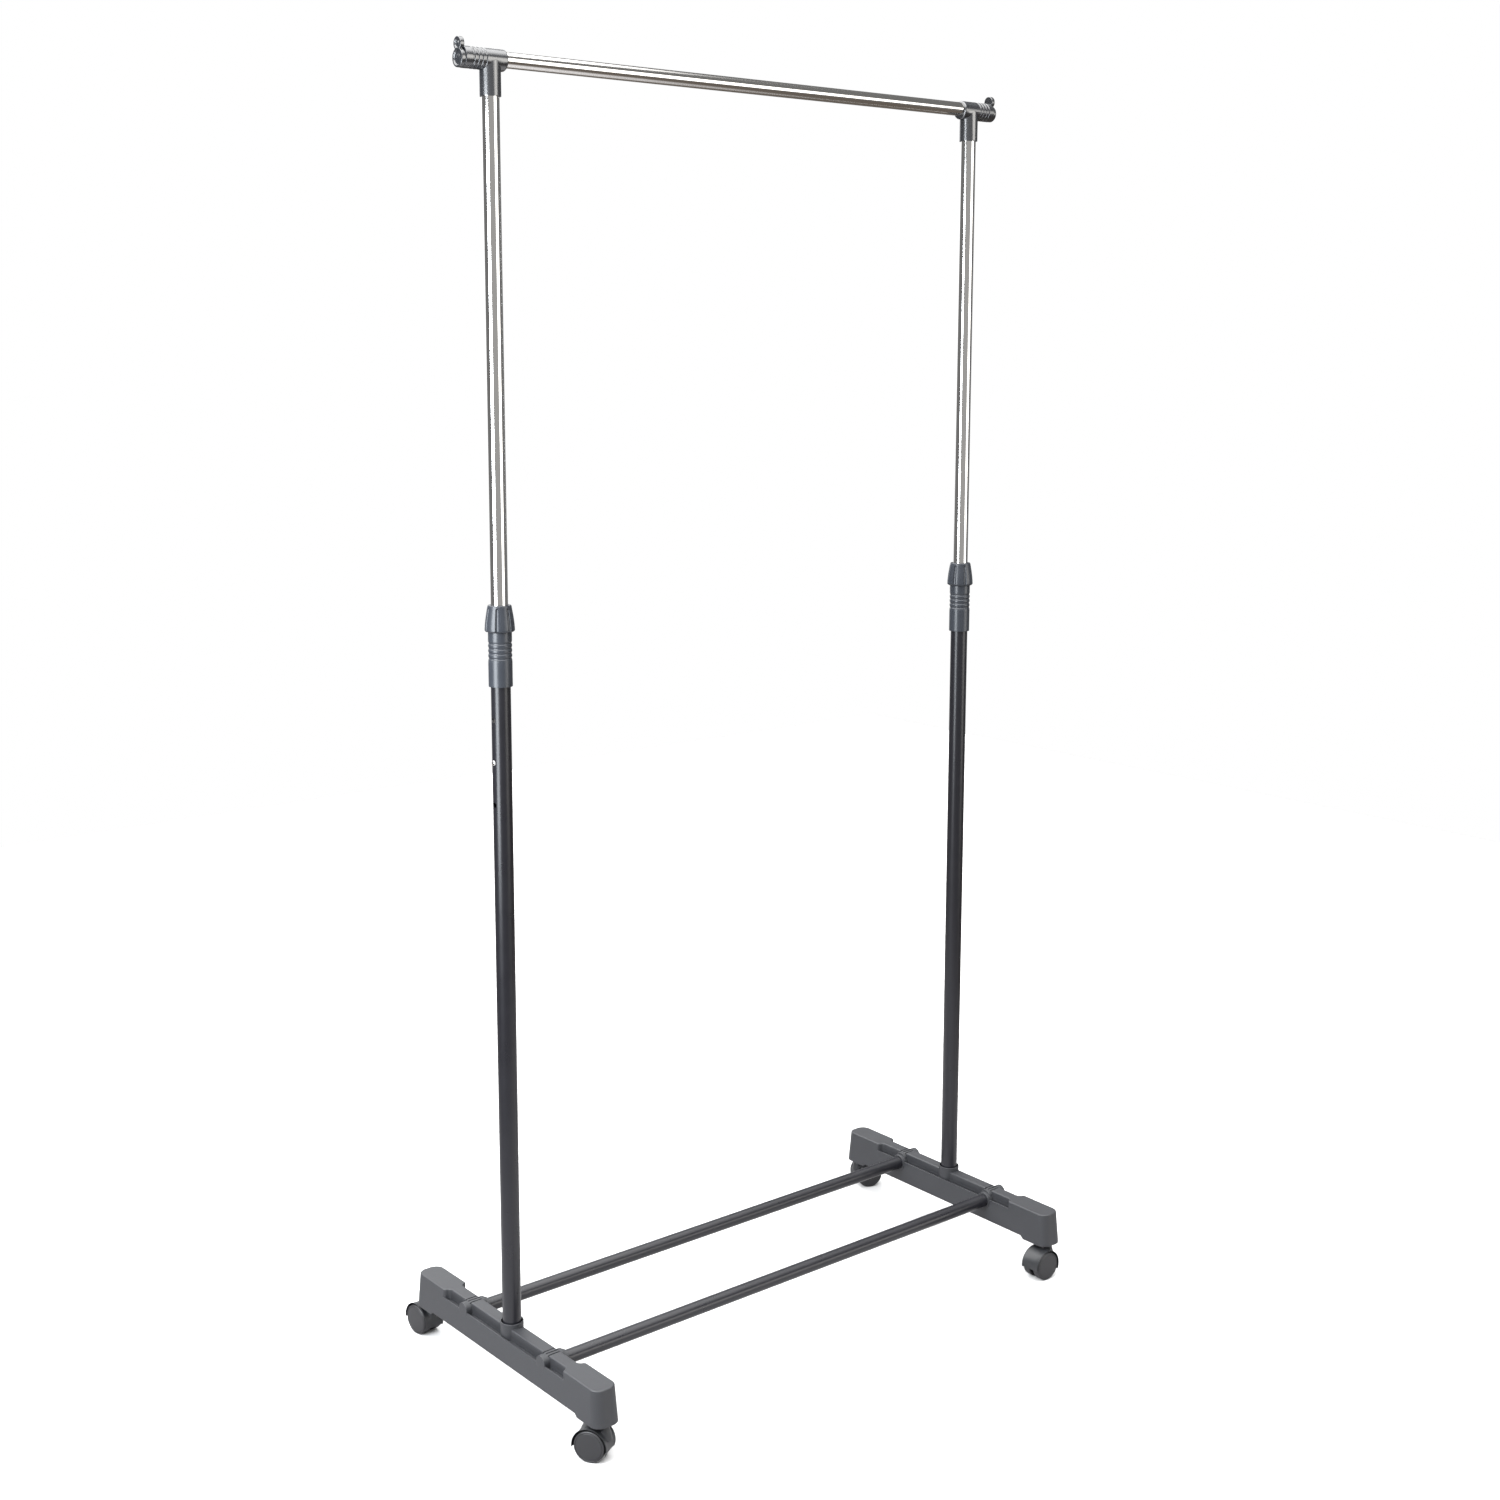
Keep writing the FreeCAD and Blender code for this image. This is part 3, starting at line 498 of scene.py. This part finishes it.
# ---- Height adjuster -----------------------------------------------------
SLEEVE_WIDE, SLEEVE_THIN = 13.35, 13.2
SLEEVE_NECK, SLEEVE_BORE = 12.3, 9.7           # above the lower tube's end
GROOVES, GROOVE_TOP, GROOVE_PITCH = 4, 12.6, 5.6       # the top one's drop from the nut's foot
GROOVE_DEPTH, GROOVE_HALF = 0.7, 1.7


def make_sleeves():
    """Sleeve with four round-bottomed ring grooves."""
    base, top, step = 841.2, NUT_Z - 0.4, NUT_Z - 33.0
    outside = [(SLEEVE_WIDE, base), (SLEEVE_WIDE, step), (SLEEVE_THIN, step + 0.4)]
    for n in reversed(range(GROOVES)):
        middle = NUT_Z - GROOVE_TOP - GROOVE_PITCH * n
        for t in (-1.0, -0.8, -0.5, -0.2, 0.2, 0.5, 0.8, 1.0):
            outside.append((SLEEVE_THIN - GROOVE_DEPTH * (1 - t * t), middle + GROOVE_HALF * t))
    profile = ([(LOWER_R, base)] + outside
               + [(SLEEVE_THIN, top), (SLEEVE_NECK, top), (SLEEVE_NECK, NUT_Z + 14),
                  (SLEEVE_BORE, NUT_Z + 14), (SLEEVE_BORE, NUT_Z - 3), (LOWER_R, NUT_Z - 3)])
    sleeve = smooth(lathe("sleeve", profile, 0.35))
    for name, sign in SIDES:
        piece(name + "_adjuster_sleeve", sleeve, outward(sign))


NUT_H, NUT_R, NUT_TOP_R, NUT_FOOT = 29.4, 16.75, 13.2, 2.0       # the foot is rounded
FLUTES, FLUTE_HALF, FLUTE_DEPTH = 7, 2.1, 1.5
FLUTE_END = 24.6           # where a flute's rounded end starts, above the nut's lower edge
FLUTE_STEPS = (-1.25, -1.02, -0.97, -0.88, -0.7, -0.4, 0.0, 0.4, 0.7, 0.88, 0.97, 1.02, 1.25)
NUT_PHASES = (226.6, 249.7)    # degrees each nut is turned by


def nut_radius(z):
    """Outer radius of the nut without its flutes."""
    if z < NUT_FOOT:
        return NUT_R - 1.6 * (1 - z / NUT_FOOT) ** 2.2
    t = (z - NUT_FOOT) / (NUT_H - 2.8)
    return NUT_R - 3.55 * t ** 1.55 if t <= 1 else NUT_TOP_R - (t - 1) * 20


def make_nuts():
    """Tapered nut with seven flutes, each with a rounded upper end."""
    pitch = 2 * math.pi / FLUTES
    half = FLUTE_HALF / 15.8
    angles = []
    for n in range(FLUTES):
        angles += [n * pitch + half * s for s in FLUTE_STEPS]
        gap = pitch - 2.5 * half
        angles += [n * pitch + 1.25 * half + gap * k / 9 for k in range(1, 9)]
    levels = [0.0, 0.25, 0.7, 1.3, 2.0] + [2 + (FLUTE_END - 3) * k / 12 for k in range(1, 13)]
    levels += [FLUTE_END + 0.25 * k for k in range(1, 12)] + [28.2, 28.6, 28.9, 29.2, 29.4]
    inside = [(12.4, 29.4), (10.1, 29.4), (9.95, 29.1), (9.95, 27.4), (10.9, 26.5), (12.4, 15.5),
              (12.4, 0.0)]
    bm = bmesh.new()
    rings = []
    for angle in angles:
        spread = (angle + pitch / 2) % pitch - pitch / 2
        c, s = math.cos(angle), math.sin(angle)
        column = []
        for z in levels:
            radius = nut_radius(z)
            across = spread / half
            along = max(0.0, z - FLUTE_END) / FLUTE_HALF
            radius -= FLUTE_DEPTH * math.sqrt(max(0.0, 1 - across ** 2 - along ** 2))
            column.append((radius, z))
        column += inside
        rings.append([bm.verts.new((r * c * MM, r * s * MM, (z + NUT_Z) * MM)) for r, z in column])
    for n, ring in enumerate(rings):
        following = rings[(n + 1) % len(rings)]
        for i in range(len(ring)):
            j = (i + 1) % len(ring)
            bm.faces.new((ring[i], following[i], following[j], ring[j]))
    nut = smooth(to_mesh("nut", bm), 40)
    for (name, sign), phase in zip(SIDES, NUT_PHASES):
        turn = Matrix.Rotation(math.radians(phase), 4, "Z")
        piece(name + "_lock_nut", nut, at(x=sign * UPRIGHT_X) @ turn)


def make_buttons():
    """Bright snap button with a domed head."""
    dome = [(3.0 * math.cos(t * math.pi / 16), 11.2 + 1.1 * math.sin(t * math.pi / 16))
            for t in range(8)]
    profile = [(0, 6.4), (3.8, 6.4), (3.8, 7.4), (3.0, 7.4)] + dome + [(0, 12.3)]
    button = smooth(lathe("button", profile, 0.15, 48, at(z=HOLE_Z) @ TO_X))
    for name, sign in SIDES:
        piece(name + "_snap_button", button, outward(sign))


# ---- Top connectors ------------------------------------------------------
def make_connectors():
    """T connector: a barrel with four grooves between ribs, on a socket for the upright."""
    radius, low, high = 11.4, -17.0, 35.0
    socket_r, depth = 11.5, 39.0
    outside = [(radius - 2.0 * (1 - math.sin(t)), low + 2.0 * (1 - math.cos(t)))
               for t in [n * math.pi / 12 for n in range(7)]]
    for n in range(4):
        middle = 10.5 + 5.03 * n
        for t in (-1.0, -0.7, 0.7, 1.0):
            outside.append((radius - (1.0 if abs(t) < 0.9 else 0.0), middle + 1.2 * t))
    outside.append((radius, high))
    barrel = lathe("connector", [(0, low)] + outside + [(0, high)], 0.3, 128,
                   at(z=RAIL_Z - 1.2) @ TO_X)
    socket = lathe("socket", [(0, -depth), (socket_r, -depth), (socket_r, -2.0), (0, -2.0)], 0.5,
                   128, at(z=RAIL_Z))
    body = combine(barrel, ("UNION", socket),
                   ("DIFFERENCE", rod(RAIL_R, -25, 70, at(z=RAIL_Z) @ TO_X, ROUND)),
                   ("DIFFERENCE", rod(UPPER_R, RAIL_Z - 60, RAIL_Z - 10.5, segments=ROUND)))
    smooth(body, 28)
    for name, sign in SIDES:
        piece(name + "_t_connector", body, outward(sign))


def make_caps():
    """End cap: two dished discs joined by a neck, on a plug in the rail."""
    start, out = 35.0, 40.0
    discs = ((10.0, -2.4), (7.2, 12.0))        # radius, height from the rail's axis
    dish, plug_r = 2.2, 7.5
    parts = []
    for radius, z in discs:
        lip = radius - dish
        profile = [(0, start), (radius, start), (radius, out), (lip, out), (lip - 0.5, out - 1.3),
                   (lip * 0.55, out - 1.5), (lip * 0.3, out - 0.9), (0, out - 0.7)]
        parts.append(lathe("cap", profile, 0.7, ROUND, at(z=RAIL_Z + z) @ TO_X))
    neck = prism([(start + 0.3, 1.0), (out - 1.7, 1.0), (out - 1.7, 9.0), (start + 0.3, 9.0)],
                 -4.9, 4.9)
    neck.transform(at(z=RAIL_Z))
    plug = lathe("plug", [(0, 21.0), (plug_r, 21.0), (plug_r, start + 1), (0, start + 1)], 0.5,
                 64, at(z=RAIL_Z) @ TO_X)
    body = combine(parts[0], ("UNION", parts[1]), ("UNION", neck), ("UNION", plug))
    smooth(body, 35)
    for name, sign in SIDES:
        piece(name + "_end_cap", body, outward(sign))


# ---- Feet ----------------------------------------------------------------
FOOT_LOW, FOOT_END, FOOT_TOP, LEDGE = 46.4, 42.4, 85.4, 75.4
FOOT_X, FOOT_Y, TOP_X, TOP_Y = 17.6, 195.0, 15.7, 191.5        # half sizes
FOOT_CORNER, CORNER_SPLITS = 12.5, 12
STRIP_X, RECESS_Y, SHOULDER = 8.3, 131.0, 11.0
WALL, FILLET, FILLET_STEPS, SUNK = 2.6, 1.6, 5, 3.6
CASTER_Y = 185.8
BOSS_R, BAR_RING_R, COLLAR_R, COLLAR_TOP = 8.7, 10.8, 13.6, 91.4
NOTCH_HALF, NOTCH_DEPTH, NOTCH_PITCH = 0.9, 2.1, 5.0           # the grooves across the strip


def foot_ring(z, inset):
    """Outline of the drafted foot at one height, drawn in by inset."""
    t = (z - FOOT_END) / (FOOT_TOP - FOOT_END)
    half_x = FOOT_X + t * (TOP_X - FOOT_X) - inset
    half_y = FOOT_Y + t * (TOP_Y - FOOT_Y) - inset
    radius = FOOT_CORNER - inset
    ring = []
    for quarter, (sx, sy) in enumerate(((1, 1), (-1, 1), (-1, -1), (1, -1))):
        for k in range(CORNER_SPLITS + 1):
            angle = (quarter + k / CORNER_SPLITS) * math.pi / 2
            ring.append((sx * (half_x - radius) + radius * math.cos(angle),
                         sy * (half_y - radius) + radius * math.sin(angle), z))
    return ring


def fillet_levels():
    """Heights and insets of the foot's rounded upper edge."""
    angles = [n * math.pi / 2 / FILLET_STEPS for n in range(FILLET_STEPS + 1)]
    return [(FOOT_TOP - FILLET + FILLET * math.sin(a), FILLET * (1 - math.cos(a)))
            for a in angles]


def recess_line():
    """The strip's side and its S curves out to the full width, from -Y to +Y."""
    rise = TOP_X + 0.6 - STRIP_X
    bend = (rise ** 2 + SHOULDER ** 2) / (4 * rise)
    turn = math.asin(SHOULDER / 2 / bend)
    start = RECESS_Y - SHOULDER
    first = [(STRIP_X + bend * (1 - math.cos(turn * k / 6)), start + bend * math.sin(turn * k / 6))
             for k in range(7)]
    second = [(STRIP_X + rise - (x - STRIP_X), RECESS_Y - (y - start)) for x, y in first[-2::-1]]
    half = first + second
    return [(x, -y) for x, y in reversed(half)] + half


def recess_cutter(sign):
    """Space beside the strip; its upper part spreads, which rounds the strip's edges."""
    line = recess_line()
    rings = []
    for z, spread in [(LEDGE, 0.0)] + fillet_levels() + [(FOOT_TOP + 6, FILLET)]:
        ring = []
        for i, (x, y) in enumerate(line):
            (ax, ay), (bx, by) = line[max(0, i - 1)], line[min(len(line) - 1, i + 1)]
            length = math.hypot(bx - ax, by - ay)
            nx, ny = (by - ay) / length, -(bx - ax) / length
            ring.append((sign * (x - nx * spread), y - ny * spread, z))
        ring += [(sign * 25.0, RECESS_Y, z), (sign * 25.0, -RECESS_Y, z)]
        rings.append(ring)
    return stack("recess", rings)


def ledge_groove(sign):
    """Sunk floor of the ledge, behind a thin rim."""
    line = [(x + 0.15, y) for x, y in recess_line() if x < FOOT_X - 3.2]
    return stack("groove", [[(sign * x, y, z) for x, y in line] for z in (LEDGE - SUNK, LEDGE + 1)])


def foot_hollow():
    """Open underside between the walls, pillars and ribs."""
    roof = LEDGE - SUNK - WALL
    hollow = stack("hollow", [foot_ring(z, WALL) for z in (FOOT_END - 1, roof)])
    strip = block((2.4 - STRIP_X, -150, roof - 1), (STRIP_X - 2.4, 150, FOOT_TOP - WALL))
    keep = [rod(14.3, 40, 100), block((-1, -CASTER_Y, 52.4), (1, CASTER_Y, 100))]
    for side in (-1, 1):
        keep.append(rod(9.5, 30, 100, at(y=side * CASTER_Y), 48))
        keep.append(block((-30, side * BAR_Y - 12, BAR_Z - 15), (30, side * BAR_Y + 12, 100)))
        for y in (40, 110, 140, 166):
            keep.append(block((-30, side * y - 1, FOOT_LOW + 2), (30, side * y + 1, 100)))
    return combine(hollow, ("UNION", strip), *[("DIFFERENCE", k) for k in keep])


def foot_bosses():
    """Round bosses over the bars' ends, webs under them, and a ring round each bar."""
    joined = []
    low_x, centre = STRIP_X - 1, FOOT_TOP - BOSS_R
    for side in (-1, 1):
        y = side * BAR_Y
        for face, reach in ((1, TOP_X + 0.7), (-1, TOP_X - 2.6)):
            place = at(y=y, z=centre) @ Matrix.Rotation(math.pi if face < 0 else 0, 4, "Z") @ TO_X
            joined.append(lathe("boss", [(0, low_x), (BOSS_R, low_x), (BOSS_R, reach), (0, reach)],
                                0.7, 64, place))
            ends = sorted((face * low_x, face * (TOP_X - 0.6)))
            joined.append(block((ends[0], y - 8.66, LEDGE - SUNK - 1), (ends[1], y + 8.66, centre)))
        end = TOP_X + 1.7
        joined.append(lathe("ring", [(0, low_x), (BAR_RING_R, low_x), (BAR_RING_R, end), (0, end)],
                            0.6, 64, at(y=y, z=BAR_Z) @ Matrix.Rotation(math.pi, 4, "Z") @ TO_X))
    joined.append(lathe("collar", [(0, LEDGE - 6), (COLLAR_R, LEDGE - 6), (COLLAR_R, COLLAR_TOP),
                                   (0, COLLAR_TOP)], 0.5))
    return joined


def foot_openings():
    """Bar, tube, caster and screw holes, and the grooves across the strip."""
    cuts = []
    for side in (-1, 1):
        for n in (-1, 0, 1):
            y = side * BAR_Y + n * NOTCH_PITCH
            cuts.append(block((-STRIP_X - 0.2, y - NOTCH_HALF, FOOT_TOP - NOTCH_DEPTH),
                              (STRIP_X + 0.2, y + NOTCH_HALF, 100)))
        bar = at(y=side * BAR_Y, z=BAR_Z) @ TO_X
        cuts.append(rod(BAR_R, -30, TOP_X - 2.4, bar))
        cuts.append(rod(6.0, 41.4, 77.4, at(y=side * CASTER_Y)))
        cuts.append(rod(*SCREW_CUT, at(y=side * BAR_Y), 24))
        cuts.append(rod(3.2, 38, 58, at(y=side * BAR_Y), 32))
    return cuts + [rod(LOWER_R, 58, 118), rod(12.6, FOOT_TOP - 1, 95, segments=ROUND),
                   rod(2.0, 45, 65, segments=32), rod(4.2, 45.4, 50.4, segments=32)]


def make_feet():
    levels = [(FOOT_END, 0.4), (FOOT_END + 0.4, 0.0)] + fillet_levels()
    body = stack("foot", [foot_ring(z, inset) for z, inset in levels])
    slope = 4.5 / (FOOT_LOW - FOOT_END)
    under = [(-157 - slope, FOOT_END - 1), (157 + slope, FOOT_END - 1), (152.5, FOOT_LOW),
             (-152.5, FOOT_LOW)]
    tunnel = stack("cutter", [[(x, y, z) for y, z in under] for x in (-30, 30)])
    foot = combine(body, ("DIFFERENCE", tunnel), ("DIFFERENCE", recess_cutter(1)),
                   ("DIFFERENCE", recess_cutter(-1)), ("DIFFERENCE", ledge_groove(1)),
                   ("DIFFERENCE", ledge_groove(-1)), *[("UNION", b) for b in foot_bosses()],
                   ("DIFFERENCE", foot_hollow()), *[("DIFFERENCE", c) for c in foot_openings()])
    smooth(foot, 28)
    for name, sign in SIDES:
        piece(name + "_foot", foot, outward(sign))


# ---- Casters: made at the swivel axis, wheels trailing towards +X ----------
TRAIL, WHEEL_R = 14.0, 18.5
WHEEL_IN, WHEEL_OUT = 3.2, 14.0        # a wheel's faces, from the caster's middle plane
WHEEL_BORE, HUB_R = 2.55, 5.0
HOOD_R, HOOD_HALF, WAIST_R, ROOM_R = 21.1, 13.5, 20.0, 19.2
BEAD, WEB_HALF = 1.2, 2.8
# Name, sign of X, sign of Y, and the way the wheels trail at rest, in degrees.
CASTERS = (("left_front", -1, -1, 122.0), ("left_rear", -1, 1, 96.0),
           ("right_front", 1, -1, 180.0), ("right_rear", 1, 1, -22.0))
AXLE = at(x=TRAIL, z=WHEEL_R) @ Matrix.Rotation(math.radians(-90), 4, "X")


def make_hood():
    """Waisted shell with a thin bead at both rims, a middle web and the stem's neck."""
    bead = HOOD_HALF - BEAD
    flare = [(WAIST_R + (HOOD_R - 0.25 - WAIST_R) * abs(t) ** 2.6, bead * t)
             for t in [n / 12 for n in range(-12, 13)]]
    shell = lathe("hood", [(0, -HOOD_HALF), (HOOD_R, -HOOD_HALF), (HOOD_R, -bead - 0.1)] + flare
                  + [(HOOD_R, bead + 0.1), (HOOD_R, HOOD_HALF), (0, HOOD_HALF)], 0.2, 128, AXLE)
    neck = lathe("neck", [(0, 24.0), (8.2, 24.0), (7.2, 32.0), (6.0, 35.5), (5.4, 38.0),
                          (5.4, 42.0), (0, 42.0)], 0.5, 64)
    wide, end = HOOD_R - 0.6, HOOD_HALF + 1
    room = lathe("room", [(0, -end), (wide, -end), (wide, 3 - end), (ROOM_R, 6 - end),
                          (ROOM_R, end - 6), (wide, end - 3), (wide, end), (0, end)], 0, 128,
                 AXLE @ SKEW)
    web = lathe("web", [(0, -WEB_HALF), (WAIST_R - 0.3, -WEB_HALF), (WAIST_R - 0.3, WEB_HALF),
                        (0, WEB_HALF)], 0, ROUND, AXLE @ SKEW @ SKEW)
    edge = [(-40, 8.5), (-16.1, 10.5), (-5, 12.5), (5, 12.5), (17.1, 16.0), (40, 16.0),
            (40, -20), (-40, -20)]
    below = prism([(TRAIL + x, z) for x, z in edge], -30, 30)
    shell = combine(shell, ("DIFFERENCE", below))
    below.transform(at(z=0.3))
    web = combine(web, ("DIFFERENCE", below))
    hood = combine(shell, ("UNION", neck), ("DIFFERENCE", room), ("UNION", web),
                   ("DIFFERENCE", rod(3.5, 35, 60)), ("DIFFERENCE", rod(2.5, -30, 30, AXLE, 48)))
    return smooth(hood, 28)


def make_wheel(side):
    """Moulded wheel: rounded tread, thin ring groove and a slightly domed disc."""
    r, low, high = WHEEL_R, WHEEL_IN, WHEEL_OUT
    profile = [(WHEEL_BORE, low), (HUB_R, low), (HUB_R, low + 6.6), (r - 3.4, low + 6.6),
               (r - 3.4, low + 0.3), (r - 1.0, low), (r, low + 1.0), (r, high - 2.2),
               (r - 0.25, high - 1.2), (r - 0.9, high - 0.5), (r - 1.7, high - 0.25),
               (r - 2.1, high - 0.3), (r - 2.3, high - 0.75), (r - 2.6, high - 0.75),
               (r - 2.8, high - 0.35), (r - 3.6, high - 0.2), (r - 9, high - 0.05), (0, high),
               (0, high - 2.0), (WHEEL_BORE, high - 2.0)]
    if side < 0:
        profile = [(radius, -height) for radius, height in profile]
    return smooth(lathe("wheel", profile, 0.25, turn=AXLE))


def make_casters():
    hood, wheels = make_hood(), {"a": make_wheel(-1), "b": make_wheel(1)}
    for name, sign, side, heading in CASTERS:
        turn = (at(x=sign * UPRIGHT_X, y=side * CASTER_Y)
                @ Matrix.Rotation(math.radians(heading), 4, "Z"))
        piece(name + "_caster_hood", hood, turn)
        for letter, wheel in wheels.items():
            piece(name + "_caster_wheel_" + letter, wheel, turn)


# ---- CAD nodes that stay -------------------------------------------------
def dress_nodes():
    """Gives every CAD node the finish that the record's material slot names."""
    for name, node in frame["nodes"].items():
        node.data.materials.clear()
        node.data.materials.append(MATERIALS[SLOTS[name]])


# ---- Build ---------------------------------------------------------------
make_camera()
make_world()
make_key_light()
make_floor()
MATERIALS = make_materials()
dress_nodes()
make_tubes()
make_sleeves()
make_nuts()
make_buttons()
make_connectors()
make_caps()
make_feet()
make_casters()
bpy.context.scene.view_settings.view_transform = "Standard"
